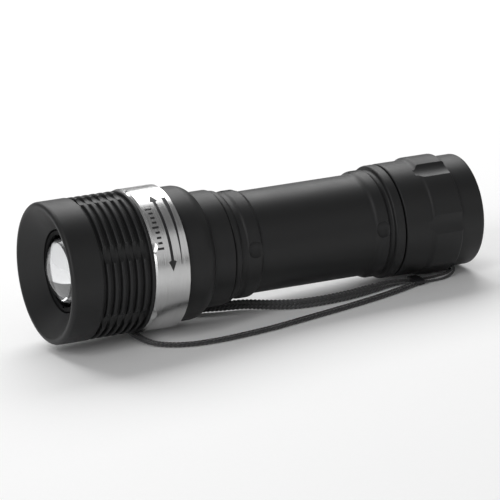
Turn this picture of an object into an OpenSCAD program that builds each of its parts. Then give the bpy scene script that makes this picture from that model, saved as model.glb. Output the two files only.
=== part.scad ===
// Twist-focus hand torch: aluminium head with a sliding lens, a barrel that holds a
// three-cell carrier, and a tail cap with a click switch and a braided wrist strap.
// Every piece is built along +Z from the bezel's lip (station 0) and then laid along
// +X, so the lens looks along -X and the origin is at the middle of the axis.

/* [Overall] */
// Length from the bezel's lip to the tail face
total_l = 130; // [128:1:160]
// Outer diameter of the bezel
head_d = 40; // [39.6:0.1:50]
// Outer diameter of the plain barrel
barrel_d = 29; // [28.6:0.1:35]

/* [Bezel] */
// Smooth collar in front of the grip grooves
collar_l = 9.3; // [8:0.1:14]
// Grooved grip behind the collar
grip_l = 15.7; // [14:0.1:22]
// Number of grip grooves
groove_n = 7; // [4:1:8]
// Width of one groove
groove_w = 1.2; // [0.8:0.05:1.3]
// Depth of one groove
groove_depth = 1.2; // [0.4:0.05:1.3]
// Depth of the funnel in front of the lens
funnel_l = 5.1; // [4:0.1:5.4]
// Thickness of the wall round the funnel's hole
funnel_wall = 2.1; // [1.5:0.1:2.3]
// Radius of the rounded lip
lip_e = 1.2; // [0.6:0.1:1.5]

/* [Flutes] */
// Number of finger flutes round the bezel
flute_n = 6; // [3:1:8]
// Radius of the cutter that makes a bezel flute
flute_r = 4.6; // [3:0.1:5]
// Depth of a bezel flute
flute_depth = 1.1; // [0.5:0.1:1.3]
// Turn of the flutes from straight down
flute_turn = 6; // [0:1:60]
// Length of the cove that a flute cuts into the band
cove_l = 1.3; // [0.5:0.1:3]

/* [Band] */
// Width of the bare metal band
band_w = 10.5; // [8:0.1:16]
// How far the band stands above the bezel
band_proud = 0.2; // [0.1:0.05:0.6]
// Chamfer on the band's front edge
band_chamfer = 0.5; // [0.2:0.05:0.8]

/* [Optics] */
// Diameter of the lens
lens_d = 21; // [16:0.5:21]
// Thickness of the lens at its edge
lens_edge = 1.6; // [1.2:0.1:1.8]
// Radius of the lens's domed face
lens_dome_r = 13; // [13:0.5:20]
// Travel of the lens between spot and flood
lens_travel = 7; // [4:0.5:7]
// Turn of the bezel that makes the whole travel
focus_turn = 100; // [80:5:105]
// Radius of a guide pin
pin_r = 0.9; // [0.7:0.05:1]

/* [Barrel] */
// Length of the neck from the band's gap to the first seam
neck_l = 15.4; // [15:0.1:20]
// How far the neck's crest stands above the plain barrel
neck_proud = 1.9; // [1.2:0.1:2.6]
// Height of the ring next to the neck seam
seam_ring_proud = 1.4; // [0.6:0.1:1.8]
// Height of the dimpled rings at both ends of the barrel
dimple_ring_proud = 0.8; // [0.4:0.1:1.2]
// Height of the wide ring next to the tail seam
tail_ring_proud = 1.7; // [1.2:0.1:1.8]
// Dimples round each dimpled ring
dimple_n = 4; // [2:1:6]
// Radius of the ball that makes a dimple
dimple_r = 3.7; // [2.4:0.1:4]
// Depth of a dimple
dimple_depth = 1; // [0.5:0.1:1.2]
// Turn of the dimples from the front side
dimple_turn = -7; // [-45:1:45]

/* [Cells] */
// Diameter of one cell
cell_d = 10.5; // [8:0.1:10.6]
// Length of one cell with its terminal
cell_l = 44.5; // [40:0.5:46]
// Thickness of the carrier's front disc
carrier_front_t = 3; // [2.4:0.1:4]
// Thickness of the carrier's rear disc
carrier_rear_t = 5; // [4.4:0.1:6]

/* [Tail] */
// Length of the tail cap
tail_l = 25.4; // [25:0.1:30]
// How far the tail cap's front part stands above the barrel
tail_proud = 1.75; // [1.4:0.05:2.4]
// How far the fluted ring stands above the barrel
tail_grip_proud = 2.4; // [2:0.1:3]
// Width of the fluted ring
tail_grip_l = 10; // [9:0.1:11]
// Flutes round the tail cap
tail_flute_n = 6; // [3:1:8]
// Depth of a tail flute
tail_flute_depth = 0.8; // [0.4:0.05:1]
// Turn of the tail flutes from the front side
tail_flute_turn = -4; // [-30:1:30]
// How far the rear of the cap stands above the barrel
tail_end_proud = 1.4; // [1:0.1:2]
// Outer radius of the rubber boot's dome
boot_r = 6.9; // [6:0.1:7.4]
// Travel of the switch
press_l = 1.8; // [1:0.1:1.8]

/* [Lanyard] */
// Width of the braided strap
strap_w = 3; // [2:0.5:4]
// Thickness of the braided strap
strap_t = 1; // [0.8:0.1:1]
// Diameter of the string that ties the strap to the tail cap
string_d = 0.8; // [0.6:0.1:0.8]

/* [Fits] */
// Radial clearance of a piece that turns or slides in another
run_gap = 0.08; // [0.05:0.01:0.1]
// Radial clearance between fixed pieces
seat_gap = 0.05; // [0.02:0.01:0.08]
// Clearance between pieces that pass each other
free_gap = 0.3; // [0.25:0.05:0.4]

/* [Hidden] */
$fn = 64;

// Radii, from the lens outwards
head_r = head_d / 2;
barrel_r = barrel_d / 2;
lens_r = lens_d / 2;
lens_bore_r = lens_r + 0.1;
nose_r = lens_bore_r + 0.9;
hole_r = nose_r + free_gap;
slider_r = nose_r + 3;
guide_bore_r = slider_r + run_gap;
guide_r = guide_bore_r + 1.15;
cam_bore_r = guide_r + 0.25;
cam_r = cam_bore_r + 1.5;
head_bore_r = cam_r + seat_gap;
spigot_r = head_bore_r - run_gap;
sleeve_r = head_r - groove_depth;
band_r = head_r + band_proud;

// Radii, from the cells outwards
cell_r = cell_d / 2;
cell_ring_r = (cell_d + 0.2) / sqrt(3);
carrier_r = cell_ring_r + cell_r + 0.75;
bore_r = carrier_r + run_gap;
thread_r = bore_r + 1.75;
thread_bore_r = thread_r + run_gap;
dimple_ring_r = barrel_r + dimple_ring_proud;
seam_ring_r = barrel_r + seam_ring_proud;
tail_ring_r = barrel_r + tail_ring_proud;
trough_r = barrel_r + 0.3;
neck_r = barrel_r + neck_proud;
tail_r = barrel_r + tail_proud;
tail_grip_r = barrel_r + tail_grip_proud;
tail_end_r = barrel_r + tail_end_proud;

// Stations of the head
band_s = collar_l + grip_l;
band_end_s = band_s + band_w;
neck_s = band_end_s + free_gap;
seam_s = neck_s + neck_l;
cavity_s = funnel_l + funnel_wall;
groove_pitch = grip_l / groove_n;
ridge_w = groove_pitch - groove_w;
ridge_e = ridge_w * 0.43;
shoulder_r = head_r - 1;
shoulder_end_s = neck_s + 4.7;
shoulder_curve_r = 4.95;
crest_s = neck_s + 8;

// Tangent from the funnel's hole to the rounded lip
lip_c = [head_r - lip_e, lip_e];
lip_v = lip_c - [hole_r, funnel_l];
lip_a = atan2(lip_v[1], lip_v[0]) - asin(lip_e / norm(lip_v));
lip_l = sqrt(lip_v * lip_v - lip_e * lip_e);
lip_t = [hole_r, funnel_l] + lip_l * [cos(lip_a), sin(lip_a)];

// Stations of the moving lens at its forward stop
nose_s = funnel_l + free_gap;
retainer_t = 1;
retainer_lap = 0.3;
lens_s = nose_s + retainer_t + 0.1;
lens_back_s = lens_s + lens_edge;
gasket_r = 0.38;
seat_s = lens_back_s + 2 * gasket_r;
slider_s = cavity_s + 0.4;
slider_end_s = slider_s + 10;
pin_s = slider_s + 6;

// Stations of the fixed optics
guide_s = cavity_s + 1.2;
clip_s = guide_s + 0.3;
clip_t = 0.7;
cam_s = clip_s + clip_t + 0.4;
spigot_s = neck_s - 8.3;
guide_end_s = spigot_s + 4;
cam_end_s = spigot_s - 2.8;
led_s = slider_s + 10.8;
pill_r = lens_bore_r + 1;
pill_bore_r = pill_r - 2.6;
pill_base_r = guide_bore_r - 0.2;
driver_r = pill_base_r - 1.88;
pill_base_s = slider_end_s + lens_travel + 1.4;
pill_end_s = neck_s + 2.2;
driver_s = pill_end_s - 1.6;
driver_t = 1.2;
board_t = 1.6;

// Stations of the carrier and of the barrel
carrier_s = driver_s + driver_t + 9.1;
cell_s = carrier_s + carrier_front_t + 0.5;
carrier_rear_s = cell_s + cell_l + 0.5;
carrier_end_s = carrier_rear_s + carrier_rear_t;
tail_s = total_l - tail_l;
barrel_s = seam_s - 8;
barrel_end_s = tail_s + 7.8;
seam_w = 0.25;

// Stations of the tail cap
switch_s = barrel_end_s + 1.6;
switch_ring_t = 1.4;
switch_board_s = switch_s + switch_ring_t;
switch_board_t = 1;
housing_s = switch_board_s + switch_board_t;
washer_s = total_l - 7.4;
washer_t = 0.6;
boot_s = washer_s + washer_t;
boot_t = 1.2;
shelf_s = boot_s + boot_t;
shelf_end_s = shelf_s + 2;
switch_bore_r = thread_bore_r - 2;
switch_r = switch_bore_r - seat_gap;
boot_top_s = total_l - 0.7;
stem_r = 2.6;
stem_s = washer_s - 1;
stem_bore_s = housing_s + 0.8;
plunger_s = washer_s + press_l + 0.2;
plunger_end_s = boot_top_s - boot_t - free_gap;

// The torch rests on the strap under the head and on the tail cap's fluted ring
grip_end_s = total_l - 7.5;
grip_s = grip_end_s - tail_grip_l;
strap_rest_s = band_s - 1;
strap_rest_z = -(band_r + strap_t + free_gap);
rest_slope = (-tail_grip_r - strap_rest_z) / (grip_end_s - strap_rest_s);
function rest_z(s) = strap_rest_z + rest_slope * (s - strap_rest_s);

// Small vector helpers, and the move from [distance from the tail, y, z] to the
// building frame
function unit(v) = v / norm(v);
function upright(p) = [-p[2], p[1], total_l - p[0]];

// Catmull-Rom point at u from 0 to 1 between p[1] and p[2]
function spline(p, u) =
    (2 * p[1] + (p[2] - p[0]) * u
        + (2 * p[0] - 5 * p[1] + 4 * p[2] - p[3]) * u * u
        + (3 * p[1] - p[0] - 3 * p[2] + p[3]) * u * u * u) / 2;
function clamp_i(i, n) = max(0, min(n - 1, i));
function smooth_path(p, k) = [
    for (i = [0 : len(p) - 2])
        for (j = [0 : k - 1])
            spline([for (m = [-1 : 2]) p[clamp_i(i + m, len(p))]], j / k),
    p[len(p) - 1]
];

// Strap route from the clamp round under the head and back:
// distance from the tail face, sideways place, and the roll of its flat face
strap_route = [
    [20.6, -10.6, 0], [26, -12.6, 0], [32, -14.5, 0], [43, -17, 0], [57, -19.4, 0],
    [71, -21.6, 0], [84, -22.2, 0], [92, -21.4, 0], [97, -19.6, 0], [101, -16.6, 0],
    [103.6, -12.4, 0], [104.4, -7, 0], [104.2, -2, 0], [102.6, 3, 0], [99, 7.4, 0],
    [94, 9.4, 10], [88, 8.8, 35], [82, 6, 65], [76, 3.4, 85], [69, 0.4, 90],
    [63, -5, 90], [57.4, -8.8, 90], [50, -10.6, 90], [41, -10.8, 90],
    [32, -9.4, 80], [26, -8, 50], [20.6, -7.2, 15]
];
// String route from the clamp, through the tail cap's hole, back under its rim
string_route = [
    [17.7, -10.3, -16.7], [15, -10.8, -16.7], [12, -10.8, -16.6], [9, -9.8, -16.4],
    [7, -8.6, -15.9], [6.1, -7.4, -15.2], [6, -6.2, -14.7], [6, -3, -14.7],
    [6, 3, -14.7], [6, 6.2, -14.7], [5.8, 7.4, -15.2], [5.4, 6.8, -16.1],
    [5.1, 4, -16.36], [5, 0, -16.36], [5.2, -3, -16.38], [6.2, -5.4, -16.4],
    [9, -6.8, -16.5], [13, -7.5, -16.7], [17.7, -7.4, -16.8]
];
lanyard_hole_s = total_l - 6;
lanyard_hole_z = tail_end_r - 1.2;
lanyard_hole_r = string_d / 2 + 0.25;

// Half height of the strap's section at a roll of its flat face
function strap_h(roll) = norm([strap_t * cos(roll), strap_w * sin(roll)]) / 2;
strap_smooth = smooth_path(strap_route, 2);
strap_path = [
    for (p = strap_smooth)
        upright([p[0], p[1], rest_z(total_l - p[0]) + strap_h(p[2]) + 0.02])
];
strap_rolls = [for (p = strap_smooth) p[2]];
string_path = [for (p = smooth_path(string_route, 1)) upright(p)];

// Places a piece built along +Z from station 0 in the part's frame
module laid() {
    translate([-total_l / 2, 0, 0]) rotate([0, 90, 0]) children();
}

// Plain ring between two radii and two stations
module ring(r0, r1, s0, s1) {
    rotate_extrude() translate([r0, s0]) square([r1 - r0, s1 - s0]);
}

// Half-section of a turned land: x is the radius and y the station
module span(r0, r1, s0, s1) {
    translate([r0, s0]) square([r1 - r0, s1 - s0]);
}
module land(r0, r1, s0, s1, e) {
    span(r0, r1 - e, s0, s1);
    span(r0, r1, s0 + e, s1 - e);
    for (s = [s0 + e, s1 - e]) translate([r1 - e, s]) circle(e);
}

// Points of a rounded corner of radius e about (r, s), from angle a0 to a1
function corner(r, s, e, a0, a1) =
    [for (i = [0 : 4]) let (a = a0 + (a1 - a0) * i / 4) [r + e * cos(a), s + e * sin(a)]];

// Points of a slope from (r0, s0) to (r1, s1) that leaves and arrives along the axis
function eased(r0, s0, r1, s1) =
    let (turn = 2 * atan(abs(r1 - r0) / (s1 - s0)))
    let (e = (r1 - r0) / (2 * (1 - cos(turn))), steps = 5)
    concat(
        [for (i = [0 : steps]) let (a = turn * i / steps)
            [r0 + e * (1 - cos(a)), s0 + abs(e) * sin(a)]],
        [for (i = [1 : steps]) let (a = turn * (1 - i / steps))
            [r1 - e * (1 - cos(a)), s1 - abs(e) * sin(a)]]);

// Half-section of a row of thread grooves cut into a spigot
module thread_grooves(r, s0, s1) {
    depth = 0.45;
    for (s = [s0 : 1 : s1]) polygon([[r - depth, s], [r + 0.1, s - 0.45], [r + 0.1, s + 0.45]]);
}

// Solid swept along path: a section of half axes a and b, rolled by an angle at each ring
module swept(path, a, b, rolls, ref, n) {
    last = len(path) - 1;
    tangents = [
        for (i = [0 : last]) unit(path[min(last, i + 1)] - path[max(0, i - 1)])
    ];
    points = [
        for (i = [0 : last])
            let (u = unit(cross(tangents[i], ref)), v = cross(u, tangents[i]), w = rolls[i])
            for (k = [0 : n - 1])
                let (p = a * cos(360 * k / n), q = b * sin(360 * k / n))
                path[i] + u * (p * cos(w) - q * sin(w)) + v * (p * sin(w) + q * cos(w))
    ];
    sides = [
        for (i = [0 : last - 1])
            for (k = [0 : n - 1])
                let (m = (k + 1) % n)
                each [
                    [i * n + k, i * n + m, (i + 1) * n + m],
                    [i * n + k, (i + 1) * n + m, (i + 1) * n + k]
                ]
    ];
    ends = [[for (k = [n - 1 : -1 : 0]) k], [for (k = [0 : n - 1]) last * n + k]];
    polyhedron(points, concat(sides, ends));
}

// Coil spring of wire radius w between two stations, with closed end turns
module coil(r0, r1, s0, s1, turns, w, steps) {
    n = turns * steps;
    path = [
        for (i = [0 : n])
            let (t = i / n, a = 360 * i / steps, r = r0 + (r1 - r0) * t,
                 lift = (t < 1 / turns) ? t * turns * 0.5 / turns
                      : (t > 1 - 1 / turns) ? 1 - (1 - t) * turns * 0.5 / turns
                      : 0.5 / turns + (t - 1 / turns) * (1 - 1 / turns) / (1 - 2 / turns))
            [r * cos(a), r * sin(a), s0 + w + (s1 - s0 - 2 * w) * lift]
    ];
    swept(path, w, w, [for (p = path) 0], [0, 0, 1], 6);
}

// Cutters of the finger flutes in the bezel and in the band's front edge
module flute_cutters() {
    centre_r = head_r - flute_depth + flute_r;
    reach = sqrt(flute_r * flute_r - pow(centre_r - band_r, 2));
    end_s = band_s + cove_l - reach;
    for (i = [0 : flute_n - 1]) {
        rotate([0, 0, flute_turn + i * 360 / flute_n]) translate([centre_r, 0, 0]) {
            translate([0, 0, collar_l + groove_w / 2])
                cylinder(r = flute_r, h = end_s - collar_l - groove_w / 2);
            translate([0, 0, end_s]) sphere(r = flute_r);
        }
    }
}

// ---- Head ----

module head_bezel() {
    color("#26272a") laid() difference() {
        rotate_extrude() {
            polygon([
                [hole_r, funnel_l], lip_t, lip_c, [head_r, lip_e],
                [head_r, cavity_s], [hole_r, cavity_s]
            ]);
            translate(lip_c) circle(lip_e);
            land(head_bore_r, head_r, lip_e + 1, collar_l, 0.3);
            span(head_bore_r, head_r - groove_depth, collar_l - 1, band_s);
            for (i = [0 : groove_n - 1]) {
                s = collar_l + groove_w + i * groove_pitch;
                land(head_bore_r, head_r - 0.1, s, s + ridge_w, ridge_e);
            }
            span(head_bore_r, sleeve_r, band_s - 1, band_end_s);
        }
        flute_cutters();
    }
}

module zoom_band() {
    edge = 0.3;
    color("#b9bbbd") laid() difference() {
        rotate_extrude() polygon([
            [sleeve_r, band_s], [band_r - band_chamfer, band_s],
            [band_r, band_s + band_chamfer], [band_r, band_end_s - edge],
            [band_r - edge, band_end_s], [sleeve_r, band_end_s]
        ]);
        flute_cutters();
    }
}

// Three helical slots, each a row of drilled holes along the helix that a pin follows
module cam_sleeve() {
    slot_r = pin_r + 0.3;
    holes = 24;
    color("#8d8f92") laid() difference() {
        ring(cam_bore_r, cam_r, cam_s, cam_end_s);
        for (j = [0 : 2]) {
            for (i = [0 : holes]) {
                t = i / holes;
                rotate([0, 0, j * 120 - t * focus_turn])
                    translate([cam_bore_r - 1, 0, pin_s + t * lens_travel])
                    rotate([0, 90, 0]) cylinder(r = slot_r, h = 4, $fn = 24);
            }
        }
    }
}

module lens() {
    dome_r = lens_r - retainer_lap - 0.05;
    dome_c = lens_s + sqrt(lens_dome_r * lens_dome_r - dome_r * dome_r) - 0.01;
    color("#dfe8ee", 0.5) laid() rotate_extrude() {
        span(0, lens_r, lens_s, lens_back_s);
        intersection() {
            translate([0, dome_c]) circle(lens_dome_r, $fn = 128);
            span(0, dome_r, lens_s - 8, lens_s + 0.2);
        }
    }
}

module lens_cell() {
    color("#1d1e20") laid() difference() {
        rotate_extrude() difference() {
            union() {
                land(0, nose_r, nose_s, slider_s + 1, 0.25);
                span(0, slider_r, slider_s, slider_end_s);
            }
            span(-1, lens_bore_r, nose_s - 1, seat_s);
            span(-1, lens_r - 0.9, seat_s - 1, seat_s + 1);
            span(-1, lens_bore_r + 1.6, seat_s + 0.8, slider_end_s + 1);
        }
        guide_pin_places(lens_bore_r, slider_r - lens_bore_r + 1, pin_r);
    }
}

module lens_gasket() {
    color("#101010") laid() rotate_extrude()
        translate([lens_r - gasket_r, lens_back_s + gasket_r]) circle(gasket_r);
}

module lens_retainer() {
    color("#1d1e20") laid() difference() {
        ring(lens_r - retainer_lap, lens_bore_r - 0.03, nose_s + 0.05, nose_s + retainer_t);
        for (a = [0, 180]) rotate([0, 0, a]) translate([lens_r - 1, -0.6, nose_s - 0.5])
            cube([2, 1.2, 0.9]);
    }
}

// Three radial cylinders at the guide pins' places
module guide_pin_places(r0, l, r) {
    for (j = [0 : 2]) {
        rotate([0, 0, j * 120]) translate([r0, 0, pin_s]) rotate([0, 90, 0])
            cylinder(r = r, h = l, $fn = 32);
    }
}

module guide_pins() {
    color("#c9a24b") laid()
        guide_pin_places(lens_bore_r + 1.75, cam_r - lens_bore_r - 2.05, pin_r);
}

module guide_sleeve() {
    slot_w = pin_r + run_gap;
    color("#9a9c9f") laid() difference() {
        rotate_extrude() difference() {
            span(guide_bore_r, guide_r, guide_s, guide_end_s);
            span(guide_r - 0.6, guide_r + 1, clip_s, clip_s + clip_t + 0.1);
        }
        for (j = [0 : 2]) {
            rotate([0, 0, j * 120]) translate([guide_bore_r - 1, 0, 0]) {
                translate([0, -slot_w, pin_s]) cube([3, 2 * slot_w, lens_travel]);
                for (s = [pin_s, pin_s + lens_travel]) {
                    translate([0, 0, s]) rotate([0, 90, 0])
                        cylinder(r = slot_w, h = 3, $fn = 32);
                }
            }
        }
    }
}

module guide_clip() {
    gap_a = 40;
    color("#6c6e70") laid() difference() {
        ring(guide_r - 0.55, guide_r + 0.85, clip_s + 0.05, clip_s + clip_t);
        translate([0, 0, clip_s - 1]) linear_extrude(clip_t + 2)
            polygon([[0, 0], 30 * [cos(gap_a), sin(gap_a)], 30 * [cos(80), sin(80)]]);
    }
}

// ---- Neck ----

focus_ring_s = [spigot_s + 2.6, spigot_s + 5.6];

module neck_shell() {
    color("#232427") laid() rotate_extrude() difference() {
        union() {
            span(10, spigot_r, spigot_s, neck_s + 1);
            land(10, shoulder_r, neck_s, shoulder_end_s + 0.6, 0.4);
            intersection() {
                translate([shoulder_r - shoulder_curve_r, shoulder_end_s])
                    circle(shoulder_curve_r);
                span(10, shoulder_r + 1, neck_s + 1, seam_s);
            }
            land(10, neck_r, crest_s, seam_s, 0.35);
        }
        for (s = focus_ring_s) span(spigot_r - 1.35, spigot_r + 1, s - 0.8, s + 0.8);
        span(-1, guide_r + seat_gap, spigot_s - 1, guide_end_s);
        span(-1, pill_base_r + seat_gap, guide_end_s - 1, pill_end_s);
        span(-1, thread_bore_r, pill_end_s - 1, seam_s + 1);
    }
}

module focus_o_rings() {
    ring_r = 0.62;
    color("#8a1f1f") laid() rotate_extrude()
        for (s = focus_ring_s) translate([spigot_r - ring_r, s]) circle(ring_r);
}

// ---- Light engine ----

module led_pill() {
    color("#b08d4f") laid() difference() {
        rotate_extrude() difference() {
            union() {
                span(0, pill_r, led_s + board_t, pill_base_s + 1);
                span(0, pill_base_r, pill_base_s, pill_end_s);
            }
            span(-1, pill_bore_r, led_s + board_t + 3, pill_end_s + 1);
            span(-1, driver_r + seat_gap, driver_s, pill_end_s + 1);
            thread_grooves(pill_base_r, guide_end_s + 1, pill_end_s - 1);
        }
        wire_places(1, led_s, driver_s);
        screw_places(0.8, led_s, 4);
    }
}

// Two holes along the axis where the leads pass
wire_y = 5;
module wire_places(r, s0, s1) {
    for (y = [-wire_y, wire_y]) translate([0, y, s0]) cylinder(r = r, h = s1 - s0, $fn = 24);
}

// Two tapped holes that hold the LED board
screw_x = 6;
module screw_places(r, s0, l) {
    for (x = [-screw_x, screw_x]) translate([x, 0, s0]) cylinder(r = r, h = l, $fn = 24);
}

module led_board() {
    color("#e8e8e4") laid() difference() {
        translate([0, 0, led_s]) cylinder(r = 8, h = board_t);
        wire_places(0.9, led_s - 1, led_s + board_t + 1);
        screw_places(0.9, led_s - 1, board_t + 2);
    }
}

module led_emitter() {
    size = 3.45;
    color("#f3f1e6") laid() translate([0, 0, led_s]) {
        translate([-size / 2, -size / 2, -0.7]) cube([size, size, 0.7]);
    }
}

module led_dome() {
    color("#ffe98a", 0.7) laid() translate([0, 0, led_s - 0.7]) difference() {
        sphere(r = 1.45);
        translate([-2, -2, 0]) cube(4);
    }
}

module board_screws() {
    head_t = 0.7;
    color("#c8cacc") laid() difference() {
        union() {
            screw_places(1.5, led_s - head_t, head_t);
            screw_places(0.78, led_s - 0.1, board_t + 1.8);
        }
        for (x = [-screw_x, screw_x]) {
            translate([x - 1.2, -0.2, led_s - head_t - 0.1]) cube([2.4, 0.4, 0.4]);
        }
    }
}

// Leads from the LED board's pads through the pill to the driver board
module lead_wires() {
    wire_r = 0.45;
    color("#b02020") laid() for (side = [-1, 1]) {
        route = [
            [side * 3.4, led_s - wire_r - 0.05], [side * 4.2, led_s - wire_r - 0.3],
            [side * 4.8, led_s - wire_r + 0.1], [side * wire_y, led_s + 1],
            [side * wire_y, led_s + 5], [side * wire_y, driver_s - 0.05]
        ];
        path = [for (p = smooth_path(route, 2)) [0, p[0], p[1]]];
        swept(path, wire_r, wire_r, [for (p = path) 0], [1, 0, 0], 8);
    }
}

module driver_board() {
    color("#1f6b3a") laid() difference() {
        translate([0, 0, driver_s]) cylinder(r = driver_r, h = driver_t);
        for (a = [90, 270]) rotate([0, 0, a]) translate([driver_r, 0, driver_s - 1])
            cylinder(r = 1, h = driver_t + 2, $fn = 24);
    }
}

// Chip, inductor and capacitors on the driver board's front
module driver_parts() {
    color("#2b2b2b") laid() translate([0, 0, driver_s]) {
        translate([-2, -1.6, -1.5]) cube([4, 3.2, 1.5]);
        translate([4.2, 0, -2.6]) cylinder(r = 2, h = 2.6);
        for (y = [-2.4, 1]) translate([-5.4, y, -1.1]) cube([1.6, 1.4, 1.1]);
    }
}

module driver_spring() {
    color("#d9d9d6") laid()
        coil(5, 2.6, driver_s + driver_t, carrier_s - free_gap, 5, 0.35, 14);
}

// ---- Barrel ----

module dimple_cutters(s) {
    for (i = [0 : dimple_n - 1]) {
        rotate([0, 0, dimple_turn - 90 + i * 360 / dimple_n])
            translate([dimple_ring_r + dimple_r - dimple_depth, 0, s]) sphere(r = dimple_r);
    }
}

front_seal_s = seam_s - 1.6;
tail_seal_s = tail_s + 1.6;

// Stations of the barrel's rings, from the neck seam and from the tail seam
front_ring_s = seam_s + 5.3;
front_ring_end_s = seam_s + 8;
rear_ring_s = tail_s - 7.3;
rear_ring_end_s = tail_s - 5.2;
tail_ring_s = tail_s - 2.4;

// Outer half-section between the two seams, with the rings at both ends
module barrel_profile() {
    in_r = bore_r - 1;
    edge = 0.6;
    polygon(concat(
        [[in_r, seam_s + seam_w]],
        corner(seam_ring_r - edge, seam_s + seam_w + edge, edge, -90, 0),
        eased(seam_ring_r, seam_s + 1.5, trough_r, seam_s + 3.2),
        eased(trough_r, front_ring_s - 1.4, dimple_ring_r, front_ring_s),
        eased(dimple_ring_r, front_ring_end_s, barrel_r, front_ring_end_s + 1.7),
        eased(barrel_r, rear_ring_s - 2.3, dimple_ring_r, rear_ring_s),
        eased(dimple_ring_r, rear_ring_end_s, trough_r, rear_ring_end_s + 1.2),
        eased(trough_r, tail_ring_s - tail_ring_r + trough_r, tail_ring_r, tail_ring_s),
        corner(tail_ring_r - edge, tail_s - edge, edge, 0, 90),
        [[in_r, tail_s]]));
}

module barrel() {
    color("#222326") laid() difference() {
        rotate_extrude() difference() {
            union() {
                span(bore_r - 1, thread_r, barrel_s, barrel_end_s);
                barrel_profile();
            }
            span(-1, bore_r, barrel_s - 1, barrel_end_s + 1);
            thread_grooves(thread_r, barrel_s + 1, seam_s - 3.4);
            thread_grooves(thread_r, tail_s + 3.4, barrel_end_s - 1);
            for (s = [front_seal_s, tail_seal_s])
                span(thread_r - 1.2, thread_r + 0.3, s - 0.7, s + 0.7);
        }
        dimple_cutters(seam_s + 6.7);
        dimple_cutters(tail_s - 6.9);
    }
}

seal_r = 0.55;
module front_o_ring() {
    color("#8a1f1f") laid() rotate_extrude()
        translate([thread_r - seal_r, front_seal_s]) circle(seal_r);
}

module tail_o_ring() {
    color("#8a1f1f") laid() rotate_extrude()
        translate([thread_r - seal_r, tail_seal_s]) circle(seal_r);
}

// ---- Cells and carrier ----

// Places children at each of the three cells
module at_cells() {
    for (i = [0 : 2]) rotate([0, 0, i * 120]) translate([cell_ring_r, 0, 0]) children();
}

post_r = 1.6;
post_ring_r = carrier_r - post_r - 0.3;
module posts(r, s0, s1) {
    for (i = [0 : 2]) rotate([0, 0, 60 + i * 120]) translate([post_ring_r, 0, s0])
        cylinder(r = r, h = s1 - s0, $fn = 32);
}

module carrier_front() {
    color("#1c1c1e") laid() difference() {
        ring(2.2, carrier_r, carrier_s, carrier_s + carrier_front_t);
        posts(0.9, carrier_s - 1, carrier_s + carrier_front_t + 1);
    }
}

module carrier_rear() {
    color("#1c1c1e") laid() difference() {
        ring(3, carrier_r, carrier_rear_s, carrier_end_s);
        at_cells() translate([0, 0, carrier_rear_s - 1]) cylinder(r = 3.1, h = 4);
        posts(0.9, carrier_rear_s - 1, carrier_end_s + 1);
    }
}

module carrier_posts() {
    color("#e0e0dc") laid() union() {
        posts(post_r, carrier_s + carrier_front_t, carrier_rear_s);
        posts(0.87, carrier_s + 0.3, carrier_end_s - 0.3);
    }
}

module carrier_nub() {
    color("#cfa64a") laid() translate([0, 0, carrier_s])
        cylinder(r = 2.15, h = carrier_front_t);
}

// Contact plates: one in front of the cells, and the terminal on the carrier's rear
module carrier_plates() {
    color("#d4d5d6") laid() union() {
        difference() {
            translate([0, 0, cell_s - 0.5]) cylinder(r = cell_ring_r + 2.4, h = 0.4);
            posts(post_r + 0.2, cell_s - 2, cell_s + 1);
        }
        translate([0, 0, carrier_end_s - 0.5]) cylinder(r = 2.9, h = 0.5);
    }
}

module carrier_springs() {
    color("#d9d9d6") laid() at_cells()
        coil(2.6, 1.6, carrier_rear_s - 0.45, carrier_rear_s + 2.95, 3, 0.3, 12);
}

// One cell: can, rounded shoulders and the raised positive terminal
module cell(i, flip) {
    nub_l = 0.8;
    laid() rotate([0, 0, i * 120]) translate([cell_ring_r, 0, cell_s + cell_l / 2])
        rotate([flip ? 180 : 0, 0, 0]) translate([0, 0, -cell_l / 2]) rotate_extrude() {
            land(0, cell_r, nub_l, cell_l - 0.05, 0.5);
            span(0, 1.9, 0, nub_l + 0.5);
        }
}
module cell_1() { color("#3f8f5a") cell(0, false); }
module cell_2() { color("#3f8f5a") cell(1, true); }
module cell_3() { color("#3f8f5a") cell(2, false); }

// ---- Tail ----

module tail_cap() {
    flute_r = 7;
    recess_r = 11;
    edge = 0.5;
    color("#232427") laid() difference() {
        rotate_extrude() difference() {
            polygon(concat(
                [[0, tail_s + free_gap]],
                corner(tail_r - edge, tail_s + free_gap + edge, edge, -90, 0),
                eased(tail_r, grip_s, tail_grip_r, grip_s + 1.9),
                corner(tail_grip_r - edge, grip_end_s - edge, edge, 0, 90),
                [[tail_end_r, grip_end_s]],
                corner(tail_end_r - 1, total_l - 1, 1, 0, 90),
                [[0, total_l]]));
            span(-1, thread_bore_r, tail_s - 1, barrel_end_s + 0.8);
            span(-1, switch_bore_r, barrel_end_s, shelf_s);
            span(-1, boot_r + free_gap, shelf_s - 1, total_l + 1);
            polygon([
                [0, shelf_end_s], [boot_r + 1.2, shelf_end_s], [recess_r, total_l - 0.4],
                [recess_r + 0.4, total_l + 0.01], [0, total_l + 1]
            ]);
        }
        for (i = [0 : tail_flute_n - 1]) {
            rotate([0, 0, tail_flute_turn - 90 + i * 360 / tail_flute_n])
                translate([tail_grip_r - tail_flute_depth + flute_r, 0, grip_s - 0.5])
                cylinder(r = flute_r, h = tail_grip_l + 0.8);
        }
        translate([lanyard_hole_z, -tail_end_r, lanyard_hole_s]) rotate([-90, 0, 0])
            cylinder(r = lanyard_hole_r, h = 2 * tail_end_r, $fn = 32);
    }
}

module switch_ring() {
    color("#9a9c9f") laid() difference() {
        ring(8.2, switch_r, switch_s, switch_board_s);
        for (a = [0, 180]) rotate([0, 0, a]) translate([9.8, 0, switch_s - 1])
            cylinder(r = 0.8, h = 4, $fn = 24);
    }
}

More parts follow.
